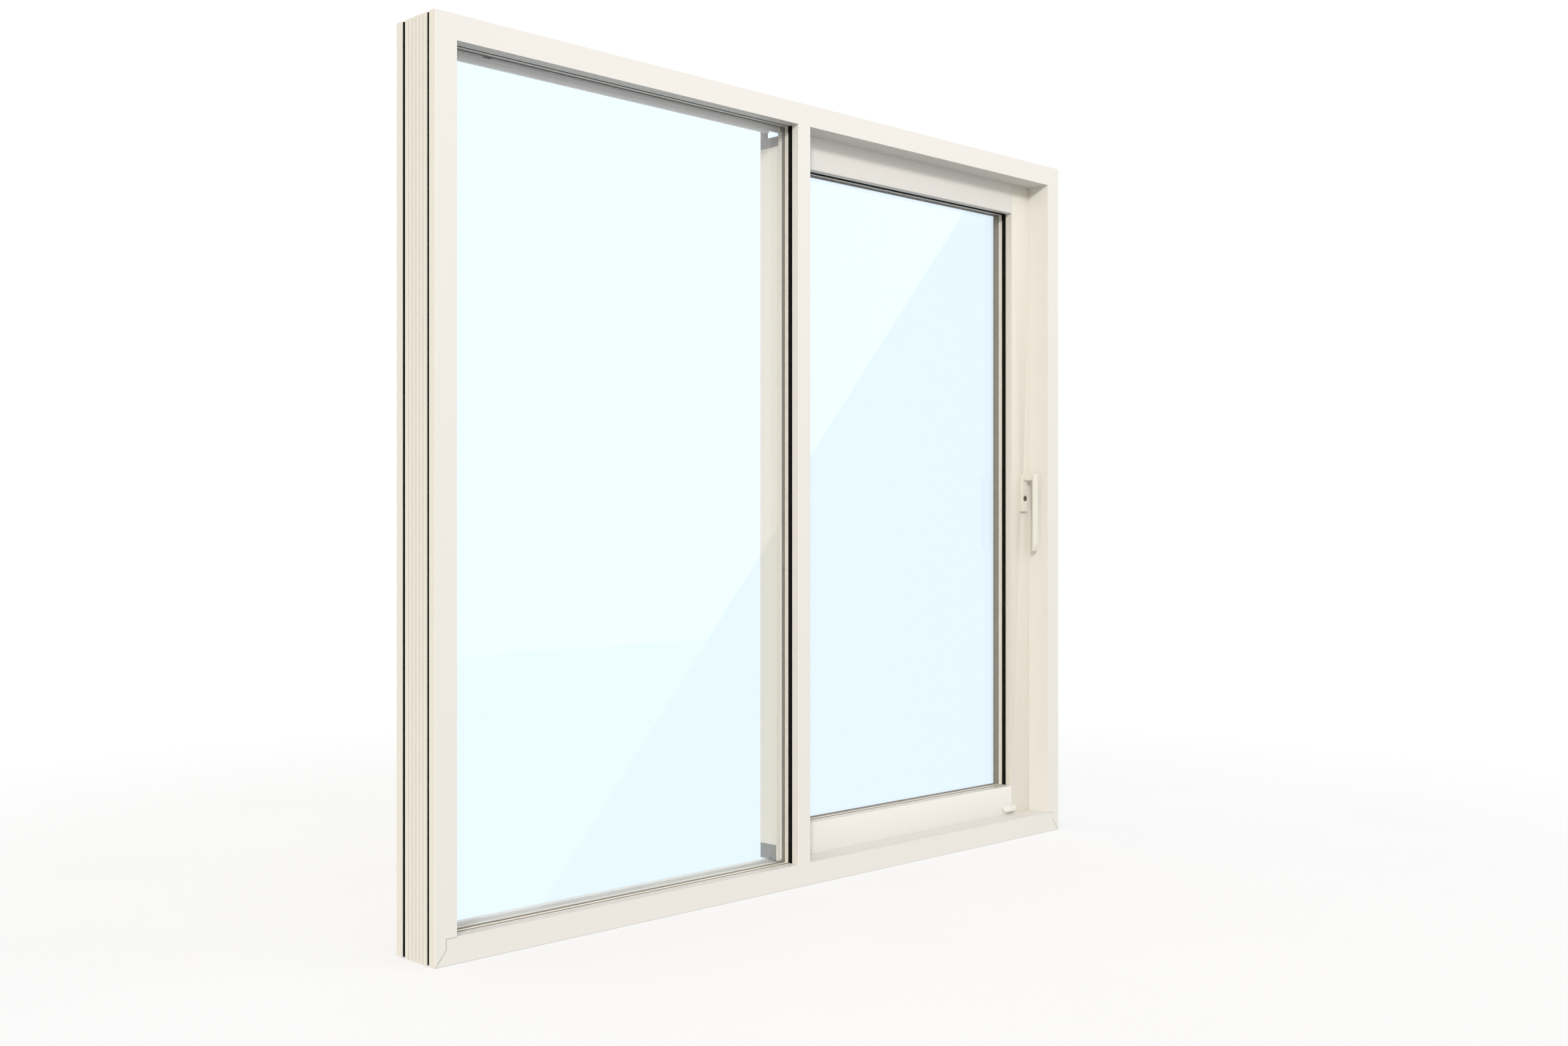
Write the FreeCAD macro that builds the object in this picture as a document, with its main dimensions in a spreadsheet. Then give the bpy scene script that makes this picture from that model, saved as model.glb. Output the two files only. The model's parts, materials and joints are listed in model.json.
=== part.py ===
import FreeCAD, Part
import os
import Sketcher
from FreeCAD import Vector

# Two-light sliding window. Millimetres, +Z up, the front face looks along -Y.
# Origin: middle of the footprint, on the underside of the sill.

doc = FreeCAD.newDocument("sliding_window")
sheet = doc.addObject("Spreadsheet::Sheet", "Dim")
sheet.set("A1", "name")
sheet.set("B1", "value_mm")

DIMENSIONS = [
    ("frame_width", 2290), ("frame_height", 2080), ("frame_depth", 154),
    ("jamb_face", 56), ("head_face", 58), ("sill_face", 60), ("mullion_face", 46),
    ("front_shell", 23), ("rear_shell", 23), ("strip_front_end", 33),
    ("core_rib_end", 119), ("strip_width", 14), ("strip_recess", 2),
    ("rib_pitch", 14.333), ("rib_groove", 4), ("rib_depth", 3),
    ("lip_depth", 66), ("rebate", 14), ("sill_rebate", 14), ("rear_sill_top", 50),
    ("joint_run", 28), ("joint_drop", 24), ("joint_line", 2.2), ("edge_round", 1.5),
    ("glass_setback", 37), ("pane_thick", 4), ("pack_thick", 20), ("gasket_thick", 3),
    ("edge_cover", 12), ("rear_gasket", 3),
    ("plate_thick", 3), ("plate_front", 67), ("plate_rear", 152), ("rail_width", 8), ("rail_rise", 6),
    ("guide_width", 10), ("guide_drop", 22), ("guide_step", 31),
    ("sash_setback", 73), ("sash_thick", 76), ("sash_right", 1100), ("sash_low", 59), ("sash_top", 2032),
    ("stile_width", 100), ("top_rail", 101), ("bottom_rail", 87), ("sash_shell", 23),
    ("guide_slot", 11), ("guide_slot_deep", 24), ("wheel_slot", 26), ("wheel_slot_tall", 56), ("rail_slot", 8),
    ("sash_rear_gasket", 9),
    ("wheel_radius", 15), ("wheel_flange", 18), ("wheel_width", 10), ("wheel_gap", 0.3),
    ("axle_radius", 4), ("axle_clear", 0.05), ("carriage_long", 120), ("carriage_wide", 20),
    ("carriage_low", 62), ("carriage_top", 104), ("carriage_front", 900), ("carriage_back", 120),
    ("handle_axis", 1053.5), ("pivot_height", 1106), ("cylinder_height", 1042),
    ("handle_wide", 23), ("plate_low", 1001), ("plate_high", 1116), ("handle_plate", 12),
    ("lever_low", 878), ("lever_high", 1118), ("lever_front", 17), ("lever_thick", 10),
    ("neck_radius", 8), ("neck_clear", 0.06), ("spindle_side", 10), ("cylinder_radius", 8.5), ("plug_radius", 6), ("plug_clear", 0.05),
    ("fixing_radius", 4), ("fixing_spread", 1600), ("fixing_setback", 83.167), ("screw_hole", 2.6),
    ("pin_low", 500), ("pin_high", 1600), ("pin_radius", 4), ("pin_head", 6),
    ("face_plate", 3), ("face_plate_wide", 16),
    ("seal_deep", 6.7), ("seal_width", 6),
    ("block_thick", 12), ("block_low", 1976), ("block_bar", 27), ("block_up", 2026), ("notch_skin", 8), ("notch_long", 75),
    ("stop_gap", 0.3), ("slide_travel", 920), ("bead_gap", 0.2), ("lever_taper", 18), ("cap_left", 952), ("cap_right", 1024), ("cap_low", 65.5), ("cap_high", 84), ("cap_proud", 6.2),
]


class Num:
    """A number that carries the sheet expression it came from."""

    def __init__(self, value, text):
        self.v, self.t = float(value), text

    def __add__(self, o):
        o = num(o)
        return Num(self.v + o.v, "(%s + %s)" % (self.t, o.t))

    def __radd__(self, o):
        return num(o) + self

    def __sub__(self, o):
        o = num(o)
        return Num(self.v - o.v, "(%s - %s)" % (self.t, o.t))

    def __rsub__(self, o):
        return num(o) - self

    def __mul__(self, o):
        o = num(o)
        return Num(self.v * o.v, "(%s * %s)" % (self.t, o.t))

    def __rmul__(self, o):
        return num(o) * self

    def __truediv__(self, o):
        o = num(o)
        return Num(self.v / o.v, "(%s / %s)" % (self.t, o.t))

    def __neg__(self):
        return Num(-self.v, "(0 - %s)" % self.t)


def num(x):
    return x if isinstance(x, Num) else Num(x, repr(float(x)) if x >= 0 else "(0 - %r)" % float(-x))


class Sheet:
    pass


D = Sheet()
for row, (alias, value) in enumerate(DIMENSIONS, start=2):
    sheet.set("A%d" % row, alias)
    sheet.set("B%d" % row, str(value))
    sheet.setAlias("B%d" % row, alias)
    setattr(D, alias, Num(value, "Dim." + alias))
doc.recompute()

PARTS = []


class Piece:
    """One body with sketches, placed at its own corner; all coordinates are given in the window's frame."""

    def __init__(self, label, x=0, y=0, z=0):
        self.label = label
        self.at = (num(x), num(y), num(z))
        self.body = doc.addObject("PartDesign::Body", label)
        self.body.Label = label
        if hasattr(self.body, "AllowCompound"):
            self.body.AllowCompound = True
        self.body.Placement = FreeCAD.Placement(Vector(*[a.v for a in self.at]), FreeCAD.Rotation())
        for axis, a in zip("xyz", self.at):
            self.body.setExpression("Placement.Base." + axis, a.t)
        self.count = 0
        PARTS.append(self.body)

    def plane(self, role):
        return [f for f in self.body.Origin.OriginFeatures if f.Role == role][0]

    def sketch(self, axis, start, outlines):
        """A sketch across `axis`; outlines are point lists or (u, v, radius) circles, in window coordinates."""
        self.count += 1
        sk = self.body.newObject("Sketcher::SketchObject", "%s_sketch%d" % (self.label, self.count))
        role, iu, iv, ia, sign = {
            "X": ("YZ_Plane", 1, 2, 0, 1), "Y": ("XZ_Plane", 0, 2, 1, -1), "Z": ("XY_Plane", 0, 1, 2, 1),
        }[axis]
        sk.AttachmentSupport = [(self.plane(role), "")]
        sk.MapMode = "FlatFace"
        off = num(start) - self.at[ia]
        if sign < 0:
            off = -off
        sk.AttachmentOffset = FreeCAD.Placement(Vector(0, 0, off.v), FreeCAD.Rotation())
        sk.setExpression("AttachmentOffset.Base.z", off.t)
        g = 0
        for line in outlines:
            if isinstance(line, tuple):
                u, v, r = num(line[0]) - self.at[iu], num(line[1]) - self.at[iv], num(line[2])
                sk.addGeometry(Part.Circle(Vector(u.v, v.v, 0), Vector(0, 0, 1), r.v), False)
                self.fix(sk, "DistanceX", g, 3, u)
                self.fix(sk, "DistanceY", g, 3, v)
                c = sk.addConstraint(Sketcher.Constraint("Radius", g, r.v))
                sk.setExpression("Constraints[%d]" % c, r.t)
                g += 1
                continue
            pts = [(num(a) - self.at[iu], num(b) - self.at[iv]) for a, b in line]
            n = len(pts)
            for i in range(n):
                p, q = pts[i], pts[(i + 1) % n]
                sk.addGeometry(Part.LineSegment(Vector(p[0].v, p[1].v, 0), Vector(q[0].v, q[1].v, 0)), False)
            for i in range(n):
                sk.addConstraint(Sketcher.Constraint("Coincident", g + i, 2, g + (i + 1) % n, 1))
            for i in range(n):
                self.fix(sk, "DistanceX", g + i, 1, pts[i][0])
                self.fix(sk, "DistanceY", g + i, 1, pts[i][1])
            g += n
        return sk

    def fix(self, sk, kind, geo, point, value):
        c = sk.addConstraint(Sketcher.Constraint(kind, -1, 1, geo, point, value.v))
        sk.setExpression("Constraints[%d]" % c, value.t)

    def solid(self, axis, low, high, *outlines):
        """Add the outlines as a prism along `axis` between two window coordinates."""
        low, high = num(low), num(high)
        sk = self.sketch(axis, high if axis == "Y" else low, outlines)
        pad = self.body.newObject("PartDesign::Pad", "%s_pad%d" % (self.label, self.count))
        pad.Profile = sk
        pad.Length = high.v - low.v
        pad.setExpression("Length", (high - low).t)
        sk.Visibility = False
        self.body.Tip = pad
        return pad

    def cut(self, axis, low, high, *outlines):
        """Remove the outlines as a prism along `axis` between two window coordinates."""
        low, high = num(low), num(high)
        sk = self.sketch(axis, high if axis == "Y" else low, outlines)
        pocket = self.body.newObject("PartDesign::Pocket", "%s_cut%d" % (self.label, self.count))
        pocket.Profile = sk
        pocket.Length = high.v - low.v
        pocket.setExpression("Length", (high - low).t)
        pocket.Reversed = True
        sk.Visibility = False
        self.body.Tip = pocket
        return pocket

    def turn(self, at, profile):
        """A turned solid about the Y direction through `at` (x, z); profile is a list of (radius, y)."""
        self.count += 1
        sk = self.body.newObject("Sketcher::SketchObject", "%s_sketch%d" % (self.label, self.count))
        sk.AttachmentSupport = [(self.plane("YZ_Plane"), "")]
        sk.MapMode = "FlatFace"
        x, z = num(at[0]) - self.at[0], num(at[1]) - self.at[2]
        if abs(x.v) > 1e-9 or abs(z.v) > 1e-9:
            raise RuntimeError("a turned piece is placed on its own axis")
        pts = [(num(y) - self.at[1], num(r)) for r, y in profile]
        n = len(pts)
        for i in range(n):
            p, q = pts[i], pts[(i + 1) % n]
            sk.addGeometry(Part.LineSegment(Vector(p[0].v, p[1].v, 0), Vector(q[0].v, q[1].v, 0)), False)
        for i in range(n):
            sk.addConstraint(Sketcher.Constraint("Coincident", i, 2, (i + 1) % n, 1))
        for i in range(n):
            self.fix(sk, "DistanceX", i, 1, pts[i][0])
            self.fix(sk, "DistanceY", i, 1, pts[i][1])
        rev = self.body.newObject("PartDesign::Revolution", "%s_turned%d" % (self.label, self.count))
        rev.Profile = sk
        rev.ReferenceAxis = (sk, ["H_Axis"])
        rev.Angle = 360
        sk.Visibility = False
        self.body.Tip = rev
        return rev

    def round_edges(self, test, radius, kind="Fillet"):
        """Round (or chamfer) every edge of the present shape for which test(start, end, middle) is true, in window coordinates."""
        doc.recompute()
        tip = self.body.Tip
        base = Vector(*[a.v for a in self.at])
        names = []
        for i, e in enumerate(tip.Shape.Edges, start=1):
            a = e.valueAt(e.FirstParameter) + base
            b = e.valueAt(e.LastParameter) + base
            m = e.valueAt((e.FirstParameter + e.LastParameter) / 2) + base
            if test(a, b, m):
                names.append("Edge%d" % i)
        if not names:
            raise RuntimeError("no edge to round on " + self.label)
        f = self.body.newObject("PartDesign::" + kind, "%s_%s" % (self.label, kind.lower()))
        f.Base = (tip, names)
        r = num(radius)
        prop = "Radius" if kind == "Fillet" else "Size"
        setattr(f, prop, r.v)
        f.setExpression(prop, r.t)
        self.body.Tip = f
        doc.recompute()
        return f


def box(u0, u1, v0, v1):
    return [(u0, v0), (u1, v0), (u1, v1), (u0, v1)]


def near(a, b, tol=0.01):
    return abs(a - num(b).v) < tol


# ---------------------------------------------------------------- levels
XO = D.frame_width / 2                     # outer edge of the jambs
XI = XO - D.jamb_face                      # jamb sight line
ZT = D.frame_height
ZH = ZT - D.head_face                      # head sight line
ZS = D.sill_face
XM = D.mullion_face / 2
Y0 = -(D.frame_depth / 2)                  # front face


def deep(d):
    return Y0 + d


Y_SHELL = deep(D.front_shell)
Y_STRIP = deep(D.strip_front_end)
Y_RIB = deep(D.core_rib_end)
Y_REAR = deep(D.frame_depth - D.rear_shell)
Y_BACK = deep(D.frame_depth)
Y_LIP = deep(D.lip_depth)
Y_GLASS = deep(D.glass_setback)
Y_PACK = Y_GLASS + D.pack_thick
Y_SEAT = Y_GLASS - D.gasket_thick
XR = XI + D.rebate                         # bottom of the jamb pockets
ZC = ZH + D.rebate                         # ceiling of the head pocket
ZB = ZS - D.sill_rebate                    # floor of the sill glass rebate
XS = D.rebate - XM                         # depth of the mullion rebate: x of its wall
FAR = 60

# ---------------------------------------------------------------- outer frame, front shell
joint_r = [(XI, ZS), (XI + D.joint_run, ZS), (XI + D.joint_run, ZS - D.joint_drop), (XO, 0)]

p = Piece("sill_front_shell", 0, Y_SHELL, 0)
p.solid("Y", Y0, Y_SHELL, [(-XO, 0), (XO, 0), (XI + D.joint_run, ZS - D.joint_drop), (XI + D.joint_run, ZS),
                           (-XI - D.joint_run, ZS), (-XI - D.joint_run, ZS - D.joint_drop)])
w = D.joint_line
for side in (1, -1):
    p.cut("Y", Y0 - 1, Y0 + 3, [
        ((XI - 2) * side, ZS + 1), ((XI + D.joint_run + 1) * side, ZS + 1),
        ((XI + D.joint_run + 1) * side, ZS - D.joint_drop + w), (XO * side, w),
        ((XO - w) * side, -1), ((XI + D.joint_run - w) * side, ZS - D.joint_drop - 0.3),
        ((XI + D.joint_run - w) * side, ZS - w), ((XI - 2) * side, ZS - w)])
p.cut("X", -XO - 5, XO + 5, [(Y0 - 0.5, -0.5), (Y0 + D.edge_round, -0.5), (Y0 - 0.5, D.edge_round)])

p = Piece("head_front_shell", 0, Y_SHELL, ZH)
p.solid("Y", Y0, Y_SHELL, [(-XO, ZT), (-XI, ZH), (XI, ZH), (XO, ZT)])
p.round_edges(lambda a, b, m: near(a.y, Y0) and near(b.y, Y0) and near(a.z, ZT) and near(b.z, ZT), D.edge_round)

for side, label in ((-1, "left_jamb_front_shell"), (1, "right_jamb_front_shell")):
    p = Piece(label, XO * side, Y_SHELL, 0)
    p.solid("Y", Y0, Y_SHELL, [(x * side, z) for x, z in joint_r] + [(XO * side, ZT), (XI * side, ZH)])
    s = side
    p.round_edges(lambda a, b, m: near(a.y, Y0) and near(b.y, Y0) and near(abs(a.x), XO) and near(abs(b.x), XO), D.edge_round)

# ---------------------------------------------------------------- black strips round the outside
for label, ya, yb in (("front_black_strip", Y_SHELL, Y_STRIP), ("rear_black_strip", Y_RIB, Y_REAR)):
    p = Piece(label, 0, yb, 0)
    o, i = D.strip_recess, D.strip_width
    p.solid("Y", ya, yb, box(-XO + o, XO - o, 0 + o, ZT - o), box(-XO + i, XO - i, 0 + i, ZT - i))

# ---------------------------------------------------------------- frame cores
def strip_notches(lo, hi, far):
    """The two notches for the black strips and five rib grooves, as (depth, across) outlines."""
    shapes = [(Y_SHELL - 1, Y_STRIP), (Y_RIB, Y_REAR + 1)]
    out = [box(a, b, lo, far) if hi is None else box(a, b, lo, far) for a, b in shapes]
    return out


def grooves(inner, outer):
    out = []
    for k in range(1, 6):
        c = Y_STRIP + D.rib_pitch * k
        out.append(box(c - D.rib_groove / 2, c + D.rib_groove / 2, inner, outer))
    return out


def swap(outlines):
    return [[(b, a) for a, b in o] for o in outlines]


p = Piece("sill_core", 0, Y_SHELL, 0)
p.solid("Y", Y_SHELL, Y_REAR, [(-XO, 0), (XO, 0), (XI, ZS), (-XI, ZS)])
p.cut("X", -XO - 5, XO + 5, box(Y_LIP, Y_REAR + 5, D.rear_sill_top, ZS + 5))
p.cut("X", -XO - 5, XS, box(Y_SEAT, Y_LIP + 1, ZB, ZS + 5))
p.cut("X", -XO - 5, XO + 5, box(Y_SHELL - 5, Y_STRIP, -5, D.strip_width), box(Y_RIB, Y_REAR + 5, -5, D.strip_width))
p.cut("X", -XO - 5, XO + 5, *grooves(-5, D.rib_depth))
for side in (1, -1):
    p.cut("Z", -5, ZS, box((XO - D.strip_width) * side, (XO + 5) * side, Y_SHELL - 5, Y_STRIP),
          box((XO - D.strip_width) * side, (XO + 5) * side, Y_RIB, Y_REAR + 5))
FIX_Y = deep(D.fixing_setback)
p.cut("Z", -5, D.rear_sill_top + 5, (-D.fixing_spread / 2, FIX_Y, D.fixing_radius), (D.fixing_spread / 2, FIX_Y, D.fixing_radius))

p = Piece("head_core", 0, Y_SHELL, ZH)
p.solid("Y", Y_SHELL, Y_REAR, [(-XO, ZT), (-XI, ZH), (XI, ZH), (XO, ZT)])
p.cut("X", -XO - 5, XO + 5, box(Y_LIP, Y_REAR + 5, ZH - 5, ZC))
p.cut("X", -XO - 5, XS, box(Y_SEAT, Y_LIP + 1, ZH - 5, ZC))
p.cut("X", -XO - 5, XO + 5, box(Y_SHELL - 5, Y_STRIP, ZT - D.strip_width, ZT + 5),
      box(Y_RIB, Y_REAR + 5, ZT - D.strip_width, ZT + 5))
p.cut("X", -XO - 5, XO + 5, *grooves(ZT - D.rib_depth, ZT + 5))
for side in (1, -1):
    p.cut("Z", ZH, ZT + 5, box((XO - D.strip_width) * side, (XO + 5) * side, Y_SHELL - 5, Y_STRIP),
          box((XO - D.strip_width) * side, (XO + 5) * side, Y_RIB, Y_REAR + 5))

for side, label in ((-1, "left_jamb_core"), (1, "right_jamb_core")):
    p = Piece(label, XO * side, Y_SHELL, 0)
    p.solid("Y", Y_SHELL, Y_REAR, [(XO * side, 0), (XO * side, ZT), (XI * side, ZH), (XI * side, ZS)])
    front = Y_SHELL - 5 if side < 0 else Y_LIP
    p.cut("Z", -5, ZT + 5, box((XI - 5) * side, XR * side, front, Y_REAR + 5))
    p.cut("Z", -5, ZT + 5, box((XO - D.strip_width) * side, (XO + 5) * side, Y_SHELL - 5, Y_STRIP),
          box((XO - D.strip_width) * side, (XO + 5) * side, Y_RIB, Y_REAR + 5))
    p.cut("Z", -5, ZT + 5, *swap(grooves((XO - D.rib_depth) * side, (XO + 5) * side)))

# ---------------------------------------------------------------- rear shells
p = Piece("sill_rear_shell", 0, Y_BACK, 0)
p.solid("Y", Y_REAR, Y_BACK, [(-XO, 0), (XO, 0), (XR, D.rear_sill_top), (-XR, D.rear_sill_top)])
p = Piece("head_rear_shell", 0, Y_BACK, ZC)
p.solid("Y", Y_REAR, Y_BACK, [(-XO, ZT), (-XR, ZC), (XR, ZC), (XO, ZT)])
for side, label in ((-1, "left_jamb_rear_shell"), (1, "right_jamb_rear_shell")):
    p = Piece(label, XO * side, Y_BACK, 0)
    p.solid("Y", Y_REAR, Y_BACK, [(XO * side, 0), (XO * side, ZT), (XR * side, ZC), (XR * side, D.rear_sill_top)])

# ---------------------------------------------------------------- mullion
p = Piece("mullion", 0, Y_LIP, ZS)
p.solid("Z", ZS, ZH, [(-XM, Y0), (XM, Y0), (XM, Y_LIP), (XS, Y_LIP), (XS, Y_SHELL), (-XM, Y_SHELL)])
p.round_edges(lambda a, b, m: near(a.y, Y0) and near(b.y, Y0) and near(a.x, b.x) and near(abs(a.x), XM), D.edge_round)

# ---------------------------------------------------------------- fixed light
GL, GR = -XI - D.edge_cover, D.edge_cover - XM
GB, GT = ZS - D.edge_cover, ZH + D.edge_cover
p = Piece("fixed_front_pane", GL, Y_GLASS, GB)
p.solid("Y", Y_GLASS, Y_GLASS + D.pane_thick, box(GL, GR, GB, GT))
p = Piece("fixed_rear_pane", GL, Y_PACK, GB)
p.solid("Y", Y_PACK - D.pane_thick, Y_PACK, box(GL, GR, GB, GT))
p = Piece("fixed_edge_spacer", GL, Y_PACK, GB)
p.solid("Y", Y_GLASS + D.pane_thick, Y_PACK - D.pane_thick, box(GL, GR, GB, GT),
        box(GL + D.edge_cover, GR - D.edge_cover, GB + D.edge_cover, GT - D.edge_cover))

p = Piece("fixed_front_gasket", -XR, Y_GLASS, ZB)
p.solid("Y", Y_SEAT, Y_GLASS, box(-XR, XS, ZB, ZC), box(-XI, -XM, ZS, ZH))
p.solid("Y", Y_SHELL, Y_SEAT + 0.5, box(-XR, -XI, ZS, ZH), box(-XM, XS, ZS, ZH))
p = Piece("fixed_rear_gasket", -XR, Y_PACK, ZB)
p.solid("Y", Y_PACK, Y_PACK + D.rear_gasket, box(-XR, XS, ZB, ZC), box(-XI, -XM, ZS, ZH))
p = Piece("fixed_glazing_beads", -XR, Y_LIP, ZB)
p.solid("Y", Y_PACK + D.rear_gasket, Y_LIP, box(-XR, -XI, ZB, ZC), box(-XM, XS, ZB, ZC),
        box(-XI + D.bead_gap, -XM - D.bead_gap, ZB, ZS), box(-XI + D.bead_gap, -XM - D.bead_gap, ZH, ZC))
p = Piece("fixed_glass_packers", 0, Y_PACK, ZB)
p.solid("Z", ZB, GB, box(GL + 150, GL + 250, Y_GLASS + 0.5, Y_PACK - 0.5), box(GR - 250, GR - 150, Y_GLASS + 0.5, Y_PACK - 0.5))

# ---------------------------------------------------------------- track, guide, seals, stops
Y_MID = deep(D.sash_setback + D.sash_thick / 2)
ZP = D.rear_sill_top + D.plate_thick
ZRAIL = ZP + D.rail_rise
p = Piece("track_plate", 0, Y_MID, D.rear_sill_top)
p.solid("Z", D.rear_sill_top, ZP, box(-XI, XI, deep(D.plate_front), deep(D.plate_rear)))
p.cut("X", -XO, XO, box(deep(88), deep(93), ZP - 1.2, ZP + 1), box(deep(132), deep(137), ZP - 1.2, ZP + 1))
p = Piece("running_rail", 0, Y_MID, ZP)
r2 = D.rail_width / 2
p.solid("X", -XI, XI, [(Y_MID - r2, ZP), (Y_MID + r2, ZP), (Y_MID + r2, ZRAIL - r2 * 0.6), (Y_MID + r2 * 0.7, ZRAIL - r2 * 0.2),
                       (Y_MID + r2 * 0.3, ZRAIL), (Y_MID - r2 * 0.3, ZRAIL), (Y_MID - r2 * 0.7, ZRAIL - r2 * 0.2), (Y_MID - r2, ZRAIL - r2 * 0.6)])
p = Piece("head_guide", 0, Y_MID, ZC)
g2 = D.guide_width / 2
p.solid("X", -XI, XI, [(Y_MID - g2, ZC - D.guide_drop), (Y_MID + g2, ZC - D.guide_drop), (Y_MID + g2, ZC - 3), (Y_MID + 16, ZC - 3),
                       (Y_MID + 16, ZC), (Y_MID - 16, ZC), (Y_MID - 16, ZC - 3), (Y_MID - g2, ZC - 3)])
p.cut("X", -D.guide_step, XI + 5, box(Y_MID - g2 - 1, Y_MID + g2 + 1, ZC - D.guide_drop - 1, ZH))
YS = deep(D.sash_setback)
YSB = YS + D.sash_thick
p = Piece("weather_seal", 0, Y_LIP, ZP)
e = D.seal_width
p.solid("Y", Y_LIP, Y_LIP + D.seal_deep, [(XM, ZP + 0.2), (XI + e, ZP + 0.2), (XI + e, ZH + e), (XM, ZH + e),
                                          (XM, ZH), (XI, ZH), (XI, ZS), (XM, ZS)])
p = Piece("mullion_interlock", XS, Y_LIP, ZS)
p.solid("Z", ZS, ZH, [(XS, Y_LIP), (XM - 1, Y_LIP), (XM - 1, Y_LIP + 1.7), (XS + 2.5, Y_LIP + 1.7), (XS + 2.5, Y_LIP + 4.5), (XS, Y_LIP + 4.5)])

PIN_Z = (D.pin_low, D.pin_high)
p = Piece("locking_pins", XR, Y_MID, D.pin_low)
p.solid("X", XR - 7, XR, (Y_MID, D.pin_low, D.pin_radius), (Y_MID, D.pin_high, D.pin_radius))
p.solid("X", XR - 11, XR - 7, (Y_MID, D.pin_low, D.pin_head), (Y_MID, D.pin_high, D.pin_head))
XSTOP = -XM - D.slide_travel - D.stop_gap
p = Piece("buffer_stop", XSTOP, YS, ZC)
p.solid("X", XSTOP - 20, XSTOP, [(YS + 1, ZC), (YS + 1, D.block_up + 1.5), (YS + 2, D.block_up + 0.5), (YS + 13, D.block_up + 0.5), (YS + 14, D.block_up + 1.5), (YS + 14, ZC)])

# ---------------------------------------------------------------- sash
SL = -XM
SR = D.sash_right
SB = D.sash_low
ST = D.sash_top
SLI = SL + D.stile_width
SRI = SR - D.stile_width
SBI = SB + D.bottom_rail
STI = ST - D.top_rail
Y_SSH = YS + D.sash_shell
YG = YS + D.glass_setback
YGB = YG + D.pack_thick
YSEAT = YG - D.gasket_thick
YRG = YGB + D.sash_rear_gasket
gs = D.guide_slot / 2
ws = D.wheel_slot / 2
HX, PZ, CZ = D.handle_axis, D.pivot_height, D.cylinder_height

p = Piece("sash_left_stile", SL, YS, SB)
p.solid("Y", YS, YSB, box(SL, SLI, SB, ST))
p.cut("Y", Y_SSH, YSB + 5, box(SLI - D.rebate, SLI + 5, SBI, STI))
p.cut("Y", YSEAT, YSB + 5, box(SLI - D.rebate, SLI + 5, SBI - D.rebate, SBI + 1))
p.cut("Y", Y_SSH, YSB + 5, box(SLI - D.rebate, SLI + 5, STI - 1, STI + D.rebate))
p.cut("X", SL - 5, SLI + 5, box(Y_MID - gs, Y_MID + gs, ST - D.guide_slot_deep, ST + 5),
      box(Y_MID - ws, Y_MID + ws, SB - 5, SB + D.rail_slot))
p.cut("X", SL + 70, SLI + 5, box(Y_MID - ws, Y_MID + ws, SB - 5, SB + D.wheel_slot_tall))
BT = D.block_thick
BAR = D.block_low + D.block_bar
p.cut("Y", YS + D.notch_skin, YSB + 5, box(SL - 5, SL + D.notch_long, BAR, ST + 5))
p.cut("Y", YS + D.notch_skin, YSB + 5, box(SL - 5, SL + BT, D.block_low, BAR + 1))
p.cut("Y", YS + 15, YSB + 5, box(SL - 5, SL + BT, SB - 5, SB + 41))
p.round_edges(lambda a, b, m: near(a.y, YS) and near(b.y, YS) and near(a.x, b.x) and near(a.x, SL), D.edge_round)

p = Piece("sash_right_stile", SR, YS, SB)
p.solid("Y", YS, YSB, box(SRI, SR, SB, ST))
p.cut("Y", Y_SSH, YSB + 5, box(SRI - 5, SRI + D.rebate, SBI, STI))
p.cut("Y", YSEAT, YSB + 5, box(SRI - 5, SRI + D.rebate, SBI - D.rebate, SBI + 1))
p.cut("Y", Y_SSH, YSB + 5, box(SRI - 5, SRI + D.rebate, STI - 1, STI + D.rebate))
p.cut("X", SRI - 5, SR + 5, box(Y_MID - gs, Y_MID + gs, ST - D.guide_slot_deep, ST + 5),
      box(Y_MID - ws, Y_MID + ws, SB - 5, SB + D.rail_slot))
fp = D.face_plate_wide / 2
p.cut("X", SR - D.face_plate, SR + 5, box(Y_MID - fp, Y_MID + fp, 130, 1990))
p.cut("X", SR - 14, SR, box(Y_MID - 6, Y_MID + 6, 150, 1850))
p.cut("X", SR - 66, SR, box(Y_MID - 8, Y_MID + 8, 998, 1152))
p.cut("Y", YS - 5, Y_MID, (HX, PZ, 8.5), (HX, CZ, D.cylinder_radius + 0.5))
p.cut("Y", YS - 5, Y_MID, (HX, PZ - 30, D.screw_hole))

p = Piece("sash_top_rail", SLI, YS, STI)
p.solid("Y", YS, YSB, box(SLI, SRI, STI, ST))
p.cut("X", SLI - 5, SRI + 5, box(Y_SSH, YSB + 5, STI - 5, STI + D.rebate), box(Y_MID - gs, Y_MID + gs, ST - D.guide_slot_deep, ST + 5))
p = Piece("sash_bottom_rail", SLI, YS, SB)
p.solid("Y", YS, YSB, box(SLI, SRI, SB, SBI))
p.cut("X", SLI - 5, SRI + 5, box(YSEAT, YSB + 5, SBI - D.rebate, SBI + 5), box(Y_MID - ws, Y_MID + ws, SB - 5, SB + D.wheel_slot_tall))

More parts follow.
